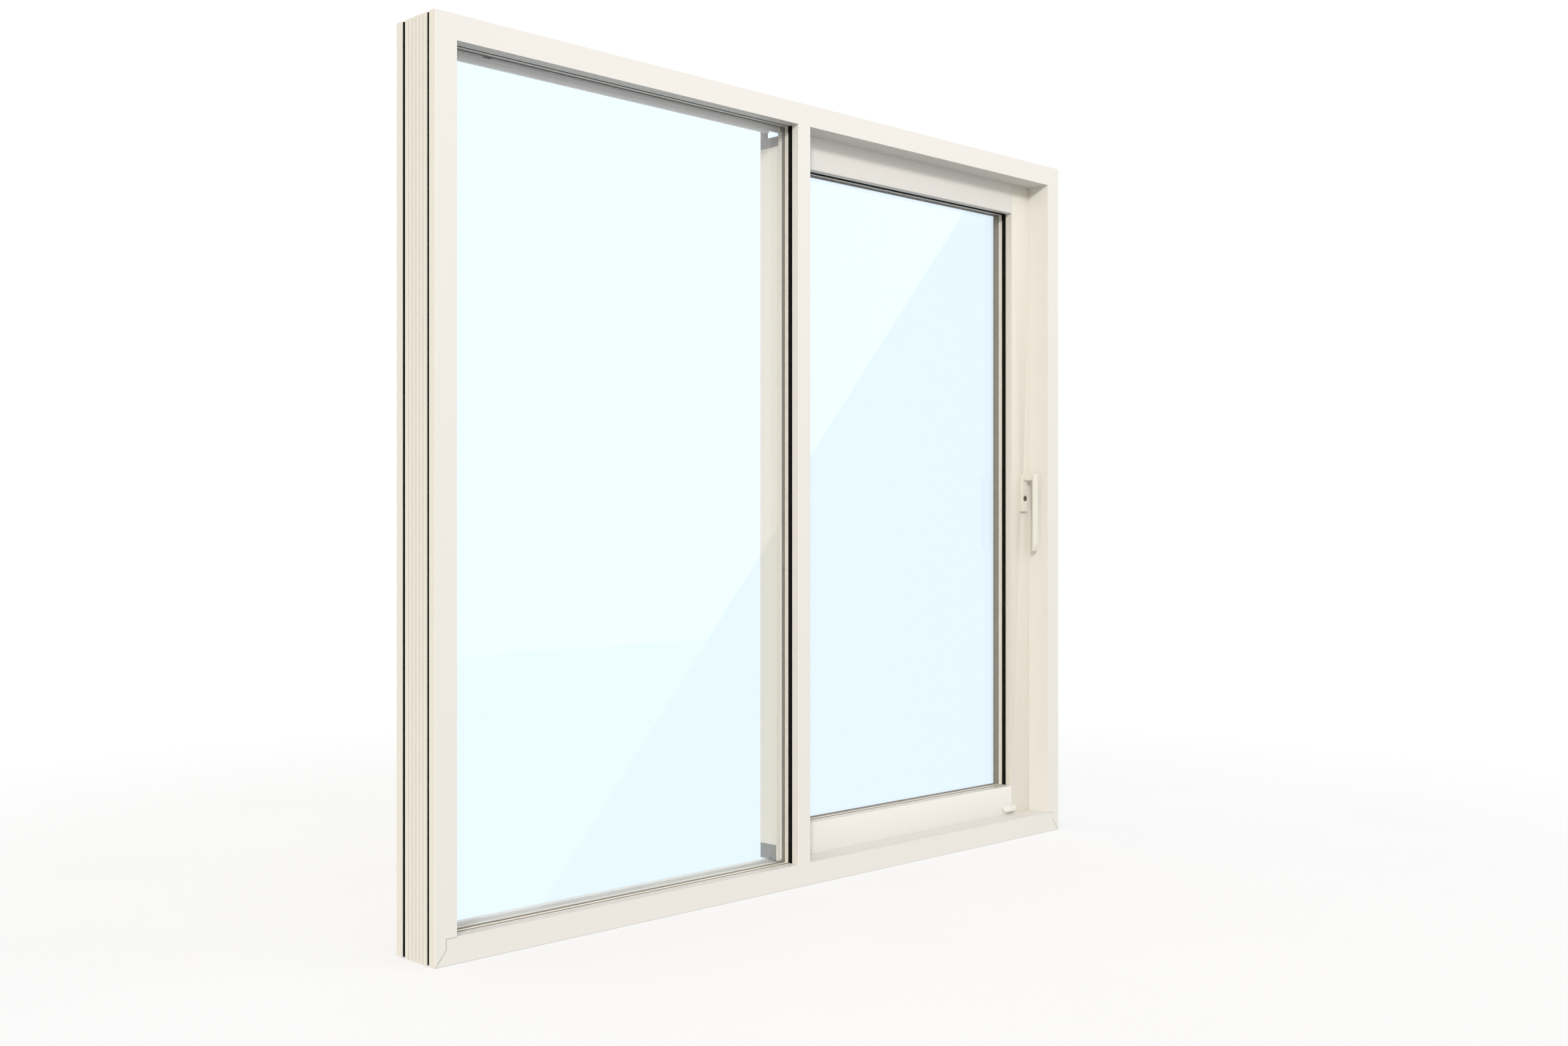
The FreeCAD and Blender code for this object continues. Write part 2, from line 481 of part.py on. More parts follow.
PL, PR = SLI - D.edge_cover, SRI + D.edge_cover
PB, PT = SBI - D.edge_cover, STI + D.edge_cover
p = Piece("sash_front_pane", PL, YG, PB)
p.solid("Y", YG, YG + D.pane_thick, box(PL, PR, PB, PT))
p = Piece("sash_rear_pane", PL, YGB, PB)
p.solid("Y", YGB - D.pane_thick, YGB, box(PL, PR, PB, PT))
p = Piece("sash_edge_spacer", PL, YGB, PB)
p.solid("Y", YG + D.pane_thick, YGB - D.pane_thick, box(PL, PR, PB, PT), box(SLI, SRI, SBI, STI))
p = Piece("sash_front_gasket", SLI, YG, SBI)
p.solid("Y", YSEAT, YG, box(SLI - D.rebate, SRI + D.rebate, SBI - D.rebate, STI + D.rebate), box(SLI, SRI, SBI, STI))
p.solid("Y", Y_SSH, YSEAT + 0.5, [(SLI - D.rebate, SBI), (SLI, SBI), (SLI, STI), (SRI, STI), (SRI, SBI), (SRI + D.rebate, SBI),
                                  (SRI + D.rebate, STI + D.rebate), (SLI - D.rebate, STI + D.rebate)])
p = Piece("sash_rear_gasket", SLI, YRG, SBI)
p.solid("Y", YGB, YRG, box(SLI - D.rebate, SRI + D.rebate, SBI - D.rebate, STI + D.rebate), box(SLI, SRI, SBI, STI))
p = Piece("sash_glazing_beads", SLI, YSB, SBI)
p.solid("Y", YRG, YSB, box(SLI - D.rebate, SLI, SBI - D.rebate, STI + D.rebate), box(SRI, SRI + D.rebate, SBI - D.rebate, STI + D.rebate),
        box(SLI + D.bead_gap, SRI - D.bead_gap, SBI - D.rebate, SBI), box(SLI + D.bead_gap, SRI - D.bead_gap, STI, STI + D.rebate))
p = Piece("sash_glass_packers", PL, YGB, PB)
p.solid("Z", SBI - D.rebate, PB, box(PL + 120, PL + 220, YG + 0.5, YGB - 0.5), box(PR - 220, PR - 120, YG + 0.5, YGB - 0.5))

p = Piece("sash_interlock", SL, YS, SB)
p.solid("Z", SB + 6, ST - 20, [(SL + 1, YS), (SL + 38, YS), (SL + 38, YS - 2), (SL + 3.5, YS - 2), (SL + 3.5, YS - 5), (SL + 1, YS - 5)])

p = Piece("lower_draught_block", SL, Y_MID, SB)
p.solid("X", SL, SL + BT, [(YS + 15, SB + 1), (Y_MID - 5, SB + 1), (Y_MID - 5, SB + 5.6), (Y_MID + 5, SB + 5.6), (Y_MID + 5, SB + 1), (YSB - 1, SB + 1),
                           (YSB - 1, SB + 41), (YS + 15, SB + 41)])
p.cut("X", SL - 1, SL + 1, box(YS + 14, Y_MID + 5, SB - 1, SB + 42))
p = Piece("upper_draught_block", SL, Y_MID, D.block_low)
p.solid("X", SL, SL + BT, [(YS + D.notch_skin, D.block_low), (YSB - 1, D.block_low), (YSB - 1, D.block_up), (YSB - 18, D.block_up), (YSB - 18, BAR), (YS + D.notch_skin, BAR)])
p.cut("X", SL - 1, SL + 1, box(YS + D.notch_skin - 1, Y_MID, D.block_low - 1, BAR + 1))

p = Piece("drain_cap", D.cap_left, YS, D.cap_low)
cw, ch = D.cap_right - D.cap_left, D.cap_high - D.cap_low
p.solid("Y", YS - D.cap_proud, YS, [(D.cap_left, D.cap_high), (D.cap_left, D.cap_low + ch * 0.5), (D.cap_left + cw * 0.06, D.cap_low + ch * 0.22),
                                    (D.cap_left + cw * 0.18, D.cap_low + ch * 0.06), (D.cap_left + cw * 0.34, D.cap_low),
                                    (D.cap_right - cw * 0.34, D.cap_low), (D.cap_right - cw * 0.18, D.cap_low + ch * 0.06),
                                    (D.cap_right - cw * 0.06, D.cap_low + ch * 0.22), (D.cap_right, D.cap_low + ch * 0.5), (D.cap_right, D.cap_high)])
p.round_edges(lambda a, b, m: near(a.y, YS - D.cap_proud) and near(b.y, YS - D.cap_proud) and near(a.z, D.cap_high) and near(b.z, D.cap_high), 4.5)

# ---------------------------------------------------------------- locking gear and handle
p = Piece("lock_gearbox", SR - 65.5, Y_MID, 1000)
p.solid("Y", Y_MID - 7.5, Y_MID + 7.5, box(SR - 65.5, SR - 15, 1000, 1150))
p.cut("Y", Y_MID - 7.5 - 5, Y_MID + 5, (HX, PZ, 11))
p.cut("Y", Y_MID - 7.5 - 5, Y_MID + 5, (HX, CZ, D.cylinder_radius))

p = Piece("edge_face_plate", SR, Y_MID, 130)
p.solid("X", SR - D.face_plate, SR, box(Y_MID - fp, Y_MID + fp, 130, 1990))
for z in PIN_Z:
    p.cut("X", SR - D.face_plate - 1, SR + 1, (Y_MID, z, 7))
    p.cut("X", SR - D.face_plate - 1, SR + 1, box(Y_MID - 4.5, Y_MID + 4.5, z, z + 13))

YP = YS - D.handle_plate
p = Piece("handle_plate", HX, YS, D.plate_low)
hw = D.handle_wide / 2
p.solid("Y", YP, YS, box(HX - hw, HX + hw, D.plate_low, D.plate_high))
p.cut("Y", YP - 1, YP + 8, (HX, PZ, D.neck_radius + D.neck_clear))
p.cut("Y", YP - 1, YS + 1, (HX, PZ, 7.6))
p.cut("Y", YP - 1, YS + 1, (HX, CZ, D.cylinder_radius))
p.cut("Y", YS - 8, YS + 1, (HX, PZ - 30, D.screw_hole))
p.round_edges(lambda a, b, m: near(a.y, YP) and near(b.y, YP) and (near(m.x, HX - hw) or near(m.x, HX + hw) or near(m.z, D.plate_low) or near(m.z, D.plate_high)), 1.2)

p = Piece("handle_screw", HX, YS, PZ - 30)
p.solid("Y", YS - 8, YS + 24, (HX, PZ - 30, 2.5))

p = Piece("lock_cylinder", HX, YS, CZ)
yc = YP - 0.5
p.turn((HX, CZ), [(D.plug_radius + D.plug_clear, yc), (D.cylinder_radius, yc), (D.cylinder_radius, Y_MID), (D.plug_radius + D.plug_clear, Y_MID)])
p = Piece("cylinder_plug", HX, YS, CZ)
p.solid("Y", yc + 0.4, Y_MID - 1, (HX, CZ, D.plug_radius))
p.cut("Y", yc - 1, yc + 9, box(HX - 0.9, HX + 0.9, CZ - 4.3, CZ + 4.3))

YL = deep(D.lever_front)
YLB = YL + D.lever_thick
p = Piece("lever_handle", HX, YLB, PZ)
p.solid("Y", YL, YLB, box(HX - hw, HX + hw, D.lever_low, D.lever_high))
p.round_edges(lambda a, b, m: near(a.y, YL) and near(b.y, YL) or (near(a.z, b.z) and near(a.x, b.x) and (near(a.z, D.lever_low) or near(a.z, D.lever_high))), 2)
p.cut("X", HX - hw - 5, HX + hw + 5, [(YL - 1, D.lever_low - 1), (YL + 6, D.lever_low - 1), (YL + 6, D.lever_low + 1), (YL - 1, D.lever_low + D.lever_taper + 3)])
nb = D.neck_radius
p.solid("Y", YLB - 0.5, YP - 1, box(HX - nb, HX + nb, PZ - nb, PZ + nb))
p.solid("Y", YLB - 0.5, YP + 7.7, (HX, PZ, D.neck_radius))
p = Piece("spindle", HX, YP, PZ)
sp = D.spindle_side / 2
p.solid("Y", YP + 7.7, Y_MID + 4.5, box(HX - sp, HX + sp, PZ - sp, PZ + sp))
p.solid("Y", Y_MID - 6, Y_MID + 4, (HX, PZ, 10.6))

p = Piece("drive_rod", SR - 11.5, Y_MID, 200)
p.solid("X", SR - 13, SR - 9, box(Y_MID - 5, Y_MID + 5, 200, 1800))

# ---------------------------------------------------------------- carriages and wheels
WZ = ZRAIL + D.wheel_radius + D.wheel_gap
c2 = D.carriage_long / 2
k2 = D.carriage_wide / 2
for label, cx in (("front_carriage", D.carriage_front), ("rear_carriage", D.carriage_back)):
    p = Piece(label, cx, Y_MID, WZ)
    p.solid("Y", Y_MID - k2, Y_MID + k2, box(cx - c2, cx + c2, D.carriage_low, D.carriage_top))
    p.cut("Z", D.carriage_low - 5, D.carriage_top + 5, box(cx - 20, cx + 20, Y_MID - D.wheel_width / 2 - 0.5, Y_MID + D.wheel_width / 2 + 0.5))
    p.cut("Y", Y_MID - k2 - 5, Y_MID + k2 + 5, (cx, WZ, D.axle_radius))
    p.round_edges(lambda a, b, m: near(a.x, b.x) and near(a.z, b.z) and abs(abs(a.x - cx.v) - c2.v) < 0.01, 5, "Chamfer")
p = Piece("carriage_link", D.carriage_back, Y_MID, D.carriage_top)
p.solid("X", D.carriage_back + c2, D.carriage_front - c2, box(Y_MID - 8, Y_MID + 8, D.carriage_top - 10, D.carriage_top - 6))
p = Piece("wheel_axles", D.carriage_back, Y_MID, WZ)
p.solid("Y", Y_MID - k2, Y_MID + k2, (D.carriage_back, WZ, D.axle_radius), (D.carriage_front, WZ, D.axle_radius))
wf, wr, wh = D.wheel_flange, D.wheel_radius, D.wheel_width / 2
for label, cx in (("front_wheel", D.carriage_front), ("rear_wheel", D.carriage_back)):
    p = Piece(label, cx, Y_MID, WZ)
    b = D.axle_radius + D.axle_clear
    p.turn((cx, WZ), [(b, Y_MID - wh), (wf - 0.5, Y_MID - wh), (wf, Y_MID - wh + 0.4), (wf - 0.4, Y_MID - wh + 0.9), (wr + 2.2, Y_MID - 4.0), (wr + 0.6, Y_MID - 2.6), (wr, Y_MID - 1.2),
                      (wr, Y_MID + 1.2), (wr + 0.6, Y_MID + 2.6), (wr + 2.2, Y_MID + 4.0), (wf - 0.4, Y_MID + wh - 0.9), (wf, Y_MID + wh - 0.4), (wf - 0.5, Y_MID + wh), (b, Y_MID + wh)])

doc.recompute()

# ---------------------------------------------------------------- checks and export
bad = []
for obj in doc.Objects:
    state = [str(s) for s in obj.State]
    if "Invalid" in state or "Error" in state or any("rror" in s for s in state):
        bad.append(obj.Name + " " + ",".join(state))
for b in PARTS:
    s = b.Shape
    if s.isNull() or not s.isValid() or not s.Solids or s.Volume <= 0:
        bad.append(b.Label + " shape")
if bad:
    raise RuntimeError("not valid: " + "; ".join(bad[:20]))

os.makedirs("parts", exist_ok=True)
for b in PARTS:
    b.Shape.exportStep("parts/%s.step" % b.Label)
    bb = b.Shape.BoundBox
    print("%-26s %d solids  %8.1f %8.1f %8.1f  %8.1f %8.1f %8.1f  V %.1f" % (
        b.Label, len(b.Shape.Solids), bb.XMin, bb.YMin, bb.ZMin, bb.XMax, bb.YMax, bb.ZMax, b.Shape.Volume / 1000))
print(len(PARTS), "parts")
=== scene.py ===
import json
import math

import bmesh
import bpy
import numpy as np
from mathutils import Matrix, Vector

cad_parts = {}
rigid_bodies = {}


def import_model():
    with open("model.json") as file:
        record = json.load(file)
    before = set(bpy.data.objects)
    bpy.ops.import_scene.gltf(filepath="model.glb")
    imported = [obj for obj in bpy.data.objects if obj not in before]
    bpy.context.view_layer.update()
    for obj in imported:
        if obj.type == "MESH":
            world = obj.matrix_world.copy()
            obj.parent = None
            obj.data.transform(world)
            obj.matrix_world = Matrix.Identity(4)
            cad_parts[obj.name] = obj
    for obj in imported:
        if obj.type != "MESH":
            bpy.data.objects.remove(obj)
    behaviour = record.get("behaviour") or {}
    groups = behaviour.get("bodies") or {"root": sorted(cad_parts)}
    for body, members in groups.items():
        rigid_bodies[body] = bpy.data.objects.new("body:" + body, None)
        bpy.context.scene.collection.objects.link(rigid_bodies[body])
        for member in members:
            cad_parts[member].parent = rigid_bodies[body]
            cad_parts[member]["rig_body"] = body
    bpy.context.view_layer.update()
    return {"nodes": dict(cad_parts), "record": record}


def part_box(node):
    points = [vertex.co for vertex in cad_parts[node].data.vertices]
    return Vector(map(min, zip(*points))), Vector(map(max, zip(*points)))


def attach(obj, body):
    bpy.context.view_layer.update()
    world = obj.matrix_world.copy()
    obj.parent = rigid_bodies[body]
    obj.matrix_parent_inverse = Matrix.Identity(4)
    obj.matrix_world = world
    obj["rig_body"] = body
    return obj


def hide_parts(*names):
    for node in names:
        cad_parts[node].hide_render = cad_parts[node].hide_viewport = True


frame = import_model()
N = frame["nodes"]
scene = bpy.context.scene
scene.view_settings.view_transform = "Standard"
scene.view_settings.look = "None"
scene.view_settings.exposure = 0.0
scene.view_settings.gamma = 1.0


# ------------------------------------------------------------------ materials
def mat(name):
    m = bpy.data.materials.new(name)
    m.use_nodes = True
    t = m.node_tree
    t.nodes.clear()
    out = t.nodes.new("ShaderNodeOutputMaterial")
    p = t.nodes.new("ShaderNodeBsdfPrincipled")
    t.links.new(p.outputs[0], out.inputs[0])
    return m, t, p, out


def coords(t, scale):
    tc = t.nodes.new("ShaderNodeTexCoord")
    mp = t.nodes.new("ShaderNodeMapping")
    mp.inputs["Scale"].default_value = scale
    t.links.new(tc.outputs["Object"], mp.inputs["Vector"])
    return mp.outputs["Vector"]


def noise(t, vec, scale, detail=4.0, rough=0.5, dist=0.0):
    n = t.nodes.new("ShaderNodeTexNoise")
    n.inputs["Scale"].default_value = scale
    n.inputs["Detail"].default_value = detail
    n.inputs["Roughness"].default_value = rough
    n.inputs["Distortion"].default_value = dist
    t.links.new(vec, n.inputs["Vector"])
    return n.outputs["Fac"]


def ramp(t, fac, stops):
    r = t.nodes.new("ShaderNodeValToRGB")
    e = r.color_ramp.elements
    while len(e) < len(stops):
        e.new(0.5)
    for i, (pos, col) in enumerate(stops):
        e[i].position = pos
        e[i].color = (*col, 1.0) if len(col) == 3 else col
    t.links.new(fac, r.inputs["Fac"])
    return r.outputs["Color"]


def rng(t, fac, lo, hi, a=0.0, b=1.0):
    m = t.nodes.new("ShaderNodeMapRange")
    m.inputs["From Min"].default_value = a
    m.inputs["From Max"].default_value = b
    m.inputs["To Min"].default_value = lo
    m.inputs["To Max"].default_value = hi
    t.links.new(fac, m.inputs["Value"])
    return m.outputs["Result"]


def mixc(t, fac, a, b, mode="MIX"):
    m = t.nodes.new("ShaderNodeMix")
    m.data_type = "RGBA"
    m.blend_type = mode
    for sock, v in ((m.inputs[0], fac), (m.inputs[6], a), (m.inputs[7], b)):
        if hasattr(v, "is_linked"):
            t.links.new(v, sock)
        elif isinstance(v, tuple):
            sock.default_value = (*v, 1.0)
        else:
            sock.default_value = v
    return m.outputs[2]


def bump(t, p, height, strength, distance):
    b = t.nodes.new("ShaderNodeBump")
    b.inputs["Strength"].default_value = strength
    b.inputs["Distance"].default_value = distance
    t.links.new(height, b.inputs["Height"])
    t.links.new(b.outputs["Normal"], p.inputs["Normal"])
    return b


def painted(name, along, light, dark, warm=0.5):
    """Satin paint over fine-grained wood; `along` is the way the grain runs (0, 1 or 2)."""
    m, t, p, out = mat(name)
    s = [1.0, 1.0, 1.0]
    s[along] = 0.035
    vec = coords(t, tuple(s))
    grain = noise(t, vec, 260.0, 5.0, 0.62, 0.6)
    broad = noise(t, coords(t, (1, 1, 1)), 2.2, 2.0, 0.5)
    spots = noise(t, coords(t, (1, 1, 1)), 38.0, 3.0, 0.5)
    base = ramp(t, grain, [(0.30, dark), (0.62, light)])
    shade = ramp(t, broad, [(0.30, tuple(c * 0.985 for c in light)), (0.70, light)])
    col = mixc(t, 0.45, base, shade)
    wash = ramp(t, spots, [(0.35, tuple(c * f for c, f in zip(light, (0.995, 0.985, 0.965)))), (0.65, light)])
    col = mixc(t, 0.25, col, wash)
    t.links.new(col, p.inputs["Base Color"])
    t.links.new(rng(t, grain, 0.34, 0.50), p.inputs["Roughness"])
    p.inputs["Specular IOR Level"].default_value = 0.42
    fine = noise(t, coords(t, (1, 1, 1)), 900.0, 2.0, 0.5)
    add = t.nodes.new("ShaderNodeMath")
    add.operation = "MULTIPLY_ADD"
    t.links.new(fine, add.inputs[0])
    add.inputs[1].default_value = 0.35
    t.links.new(grain, add.inputs[2])
    bump(t, p, add.outputs[0], 0.10, 0.0004)
    return m


LIGHT = (0.745, 0.735, 0.720)
DARK = (0.725, 0.713, 0.693)
PAINT = {i: painted("paint_%s" % "xyz"[i], i, LIGHT, DARK) for i in range(3)}
# lit copy of the paint for the sash's left stile: lighter, painted light where it is seen through the fixed pane
PAINT_LIT = painted("paint_pale", 2, (0.840, 0.812, 0.770), (0.822, 0.792, 0.746))
# shaded copy of the paint for the sash's right stile: darker and beige, painted shade and warm bounce from the jamb's
# reveal
PAINT_SHADED = painted("paint_warm", 2, (0.690, 0.668, 0.625), (0.672, 0.648, 0.602))


def plain(name, a, b, scale, rough=(0.4, 0.6), metal=0.0, stretch=(1, 1, 1), bump_s=0.1, bump_d=0.0003, spec=0.5):
    m, t, p, out = mat(name)
    vec = coords(t, stretch)
    n = noise(t, vec, scale, 5.0, 0.6)
    n2 = noise(t, coords(t, (1, 1, 1)), 9.0, 2.0, 0.5)
    col = mixc(t, 0.3, ramp(t, n, [(0.3, a), (0.7, b)]), ramp(t, n2, [(0.3, a), (0.7, b)]))
    t.links.new(col, p.inputs["Base Color"])
    t.links.new(rng(t, n, rough[0], rough[1]), p.inputs["Roughness"])
    p.inputs["Metallic"].default_value = metal
    p.inputs["Specular IOR Level"].default_value = spec
    bump(t, p, n, bump_s, bump_d)
    return m


RUBBER = plain("black_rubber", (0.006, 0.0055, 0.005), (0.012, 0.010, 0.009), 240.0, (0.75, 0.9), bump_s=0.25, spec=0.08)
SEAL = plain("seal_pale", (0.725, 0.713, 0.693), (0.745, 0.735, 0.720), 300.0, (0.5, 0.65), bump_s=0.1)
ALU = plain("anodised_aluminium", (0.84, 0.85, 0.86), (0.90, 0.91, 0.92), 420.0, (0.42, 0.55), 0.0, (0.02, 1, 1), 0.12, 0.0001)
STEEL = plain("brushed_steel", (0.64, 0.64, 0.65), (0.74, 0.74, 0.74), 500.0, (0.34, 0.48), 0.5, (0.02, 1, 1), 0.12, 0.0001)
SPACER = plain("warm_spacer", (0.80, 0.78, 0.73), (0.86, 0.84, 0.79), 500.0, (0.35, 0.5), 0.0, (1, 1, 0.02), 0.12, 0.0001)
GREY = plain("grey_plastic", (0.205, 0.205, 0.205), (0.245, 0.245, 0.245), 500.0, (0.45, 0.6), bump_s=0.3)
CAP = plain("cap_plastic", (0.70, 0.685, 0.65), (0.73, 0.715, 0.68), 500.0, (0.35, 0.5), bump_s=0.12)
NYLON = plain("wheel_nylon", (0.74, 0.73, 0.66), (0.82, 0.81, 0.75), 300.0, (0.4, 0.55))
BLUE = plain("packer_plastic", (0.16, 0.30, 0.46), (0.20, 0.36, 0.54), 300.0, (0.4, 0.55))
COAT = plain("handle_coat", (0.70, 0.683, 0.640), (0.735, 0.715, 0.672), 700.0, (0.30, 0.42), bump_s=0.10, bump_d=0.0002)
# cylinder face coloured very dark brown all over its metal: painted shade of the lock opening
CYLINDER_SHADED = plain("cylinder_shaded", (0.085, 0.072, 0.060), (0.13, 0.11, 0.09), 600.0, (0.30, 0.42), 0.4, bump_s=0.06, bump_d=0.0001)
BEAD = plain("dark_bead", (0.145, 0.128, 0.122), (0.175, 0.155, 0.148), 300.0, (0.6, 0.75), bump_s=0.15, spec=0.2)


def two_tone(name, low, high, height, spread=1.6, band=0.0005):
    """One material that changes tone at the given height of the piece's own shape."""
    m, t, p, out = mat(name)
    vec = coords(t, (1, 1, 1))
    n = noise(t, vec, 240.0, 5.0, 0.6)
    sep = t.nodes.new("ShaderNodeSeparateXYZ")
    t.links.new(vec, sep.inputs[0])
    up = rng(t, sep.outputs["Z"], 0.0, 1.0, height - band, height + band)
    col = mixc(t, up, ramp(t, n, [(0.3, low), (0.7, tuple(1.03 * v for v in low))]),
               ramp(t, n, [(0.3, high), (0.7, tuple(spread * v for v in high))]))
    t.links.new(col, p.inputs["Base Color"])
    t.links.new(rng(t, n, 0.75, 0.9), p.inputs["Roughness"])
    p.inputs["Specular IOR Level"].default_value = 0.08
    bump(t, p, n, 0.25, 0.0003)
    return m


def glass(name):
    m, t, p, out = mat(name)
    p.inputs["Base Color"].default_value = (0.985, 0.998, 1.0, 1.0)
    p.inputs["Roughness"].default_value = 0.0
    p.inputs["IOR"].default_value = 1.5
    p.inputs["Transmission Weight"].default_value = 1.0
    lp = t.nodes.new("ShaderNodeLightPath")
    tr = t.nodes.new("ShaderNodeBsdfTransparent")
    tr.inputs[0].default_value = (0.985, 0.998, 1.0, 1.0)
    mx = t.nodes.new("ShaderNodeMixShader")
    t.links.new(lp.outputs["Is Shadow Ray"], mx.inputs[0])
    t.links.new(p.outputs[0], mx.inputs[1])
    t.links.new(tr.outputs[0], mx.inputs[2])
    t.links.new(mx.outputs[0], out.inputs[0])
    return m


GLASS = glass("float_glass")

GIVE = {
    "painted_frame": None, "painted_sash": None,
    "black_rubber": RUBBER, "dark_bead": BEAD, "grey_seal": SEAL, "glass": GLASS, "spacer_metal": SPACER,
    "aluminium": ALU, "steel": STEEL, "handle_paint": COAT, "cylinder_metal": CYLINDER_SHADED, "grey_plastic": GREY,
    "packer_plastic": BLUE, "cap_plastic": CAP, "wheel_plastic": NYLON,
}
SLOT = {s["node"]: s["material_slot"] for s in frame["record"]["subparts"]}


def longest(node):
    lo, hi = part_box(node)
    d = [hi[i] - lo[i] for i in range(3)]
    return d.index(max(d))


def give(obj, m):
    obj.data.materials.clear()
    obj.data.materials.append(m)


for name, obj in N.items():
    m = GIVE[SLOT[name]]
    give(obj, m if m else PAINT[longest(name)])
# the right stile takes the shaded copy of the paint: painted shade
give(N["sash_right_stile"], PAINT_SHADED)
# the left stile takes the lit copy of the paint: painted light
give(N["sash_left_stile"], PAINT_LIT)
for name in ("fixed_rear_gasket", "sash_rear_gasket"):
    give(N[name], BEAD)
for name in ("fixed_front_gasket", "sash_front_gasket"):
    give(N[name], two_tone(name + "_rubber", (0.60, 0.585, 0.56), (0.006, 0.0055, 0.005), min(v.co.z for v in N[name].data.vertices) + 0.0125))


# ------------------------------------------------------------------ pieces that stand for CAD nodes
def soften(node, width, segments=2, material=None, angle=25.0):
    """The node's own shape with small rounded edges."""
    src = N[node]
    bm = bmesh.new()
    bm.from_mesh(src.data)
    bmesh.ops.remove_doubles(bm, verts=bm.verts, dist=1e-6)
    bmesh.ops.dissolve_limit(bm, angle_limit=math.radians(0.6), verts=bm.verts, edges=bm.edges)
    me = bpy.data.meshes.new(node + "_soft")
    bm.to_mesh(me)
    bm.free()
    o = bpy.data.objects.new(node + "_soft", me)
    scene.collection.objects.link(o)
    b = o.modifiers.new("edge", "BEVEL")
    b.width = width
    b.segments = segments
    b.limit_method = "ANGLE"
    b.angle_limit = math.radians(angle)
    b.harden_normals = True
    b.use_clamp_overlap = True
    for f in me.polygons:
        f.use_smooth = True
    dg = bpy.context.evaluated_depsgraph_get()
    new = bpy.data.meshes.new_from_object(o.evaluated_get(dg))
    o.modifiers.clear()
    o.data = new
    give(o, material if material else src.data.materials[0])
    body = src["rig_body"]
    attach(o, body)
    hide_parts(node)
    return o


for node in ("sash_left_stile", "sash_right_stile", "sash_top_rail", "sash_bottom_rail"):
    soften(node, 0.0012)
for node in ("handle_plate", "lower_draught_block", "upper_draught_block"):
    soften(node, 0.0008)


def lever():
    """A flat bar with rounded edges, a bevelled foot and a square neck that turns round before it enters the plate."""
    lo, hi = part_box("lever_handle")
    x0, x1, y0, z0, z1 = lo.x, hi.x, lo.y, lo.z, hi.z
    yb = y0 + 0.010
    cx = (x0 + x1) / 2
    hw = (x1 - x0) / 2
    pz = PIVOT.z
    prof = []
    for k in range(32):
        a = 2 * math.pi * k / 32
        c, s = math.cos(a), math.sin(a)
        prof.append((math.copysign(abs(c) ** 0.34, c), math.copysign(abs(s) ** 0.42, s)))
    bm = bmesh.new()
    steps = 72
    rows = []
    for i in range(steps + 1):
        u = i / steps
        z = z0 + (z1 - z0) * (0.5 - 0.5 * math.cos(math.pi * u))
        d = min(z - z0, z1 - z)
        r = 0.0028
        cap = 1.0 if d >= r else math.sqrt(max(0.0, 1 - ((r - d) / r) ** 2))
        w = hw - r * (1 - cap) * 0.8
        foot = max(0.0, 1.0 - (z - z0) / 0.020)
        front = y0 + 0.0062 * foot + 0.0018 * (1 - cap)
        rear = yb - 0.0012 * (1 - cap)
        yc, th = (front + rear) / 2, (rear - front) / 2
        rows.append([bm.verts.new((cx + w * px, yc + th * py, z)) for px, py in prof])
    n = len(prof)
    for a, b in zip(rows, rows[1:]):
        for k in range(n):
            bm.faces.new((a[k], a[(k + 1) % n], b[(k + 1) % n], b[k]))
    bm.faces.new(list(reversed(rows[0])))
    bm.faces.new(rows[-1])
    prev = None
    hb = 0.0078
    m = 48
    stations = [(yb - 0.001, 1.0), (yb + 0.012, 1.0), (yb + 0.024, 1.0), (PLATE_FRONT - 0.0030, 1.0), (PLATE_FRONT - 0.0014, 0.9), (PLATE_FRONT - 0.0013, 0.0), (hi.y, 0.0)]
    for y, sq in stations:
        ring = []
        for k in range(m):
            a = 2 * math.pi * (k + 0.5) / m
            c, t = math.cos(a), math.sin(a)
            e = 0.26 if sq > 0 else 1.0
            f = (hb * (0.94 if 0 < sq < 1 else 1.0)) if sq > 0 else 0.0079
            ring.append(bm.verts.new((cx + f * math.copysign(abs(c) ** e, c), y, pz + f * math.copysign(abs(t) ** e, t))))
        if prev:
            for k in range(m):
                bm.faces.new((prev[k], ring[k], ring[(k + 1) % m], prev[(k + 1) % m]))
        else:
            bm.faces.new(ring)
        prev = ring
    bm.faces.new(list(reversed(prev)))
    bmesh.ops.recalc_face_normals(bm, faces=bm.faces)
    me = bpy.data.meshes.new("lever_bar")
    bm.to_mesh(me)
    bm.free()
    for f in me.polygons:
        f.use_smooth = True
    me.set_sharp_from_angle(angle=math.radians(38))
    o = bpy.data.objects.new("lever_bar", me)
    scene.collection.objects.link(o)
    give(o, COAT)
    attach(o, "lever")
    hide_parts("lever_handle")
    return o


PIVOT = Vector([j for j in frame["record"]["behaviour"]["joints"] if j["name"] == "lever_turn"][0]["pos_m"])
PLATE_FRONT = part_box("handle_plate")[0].y
lever()


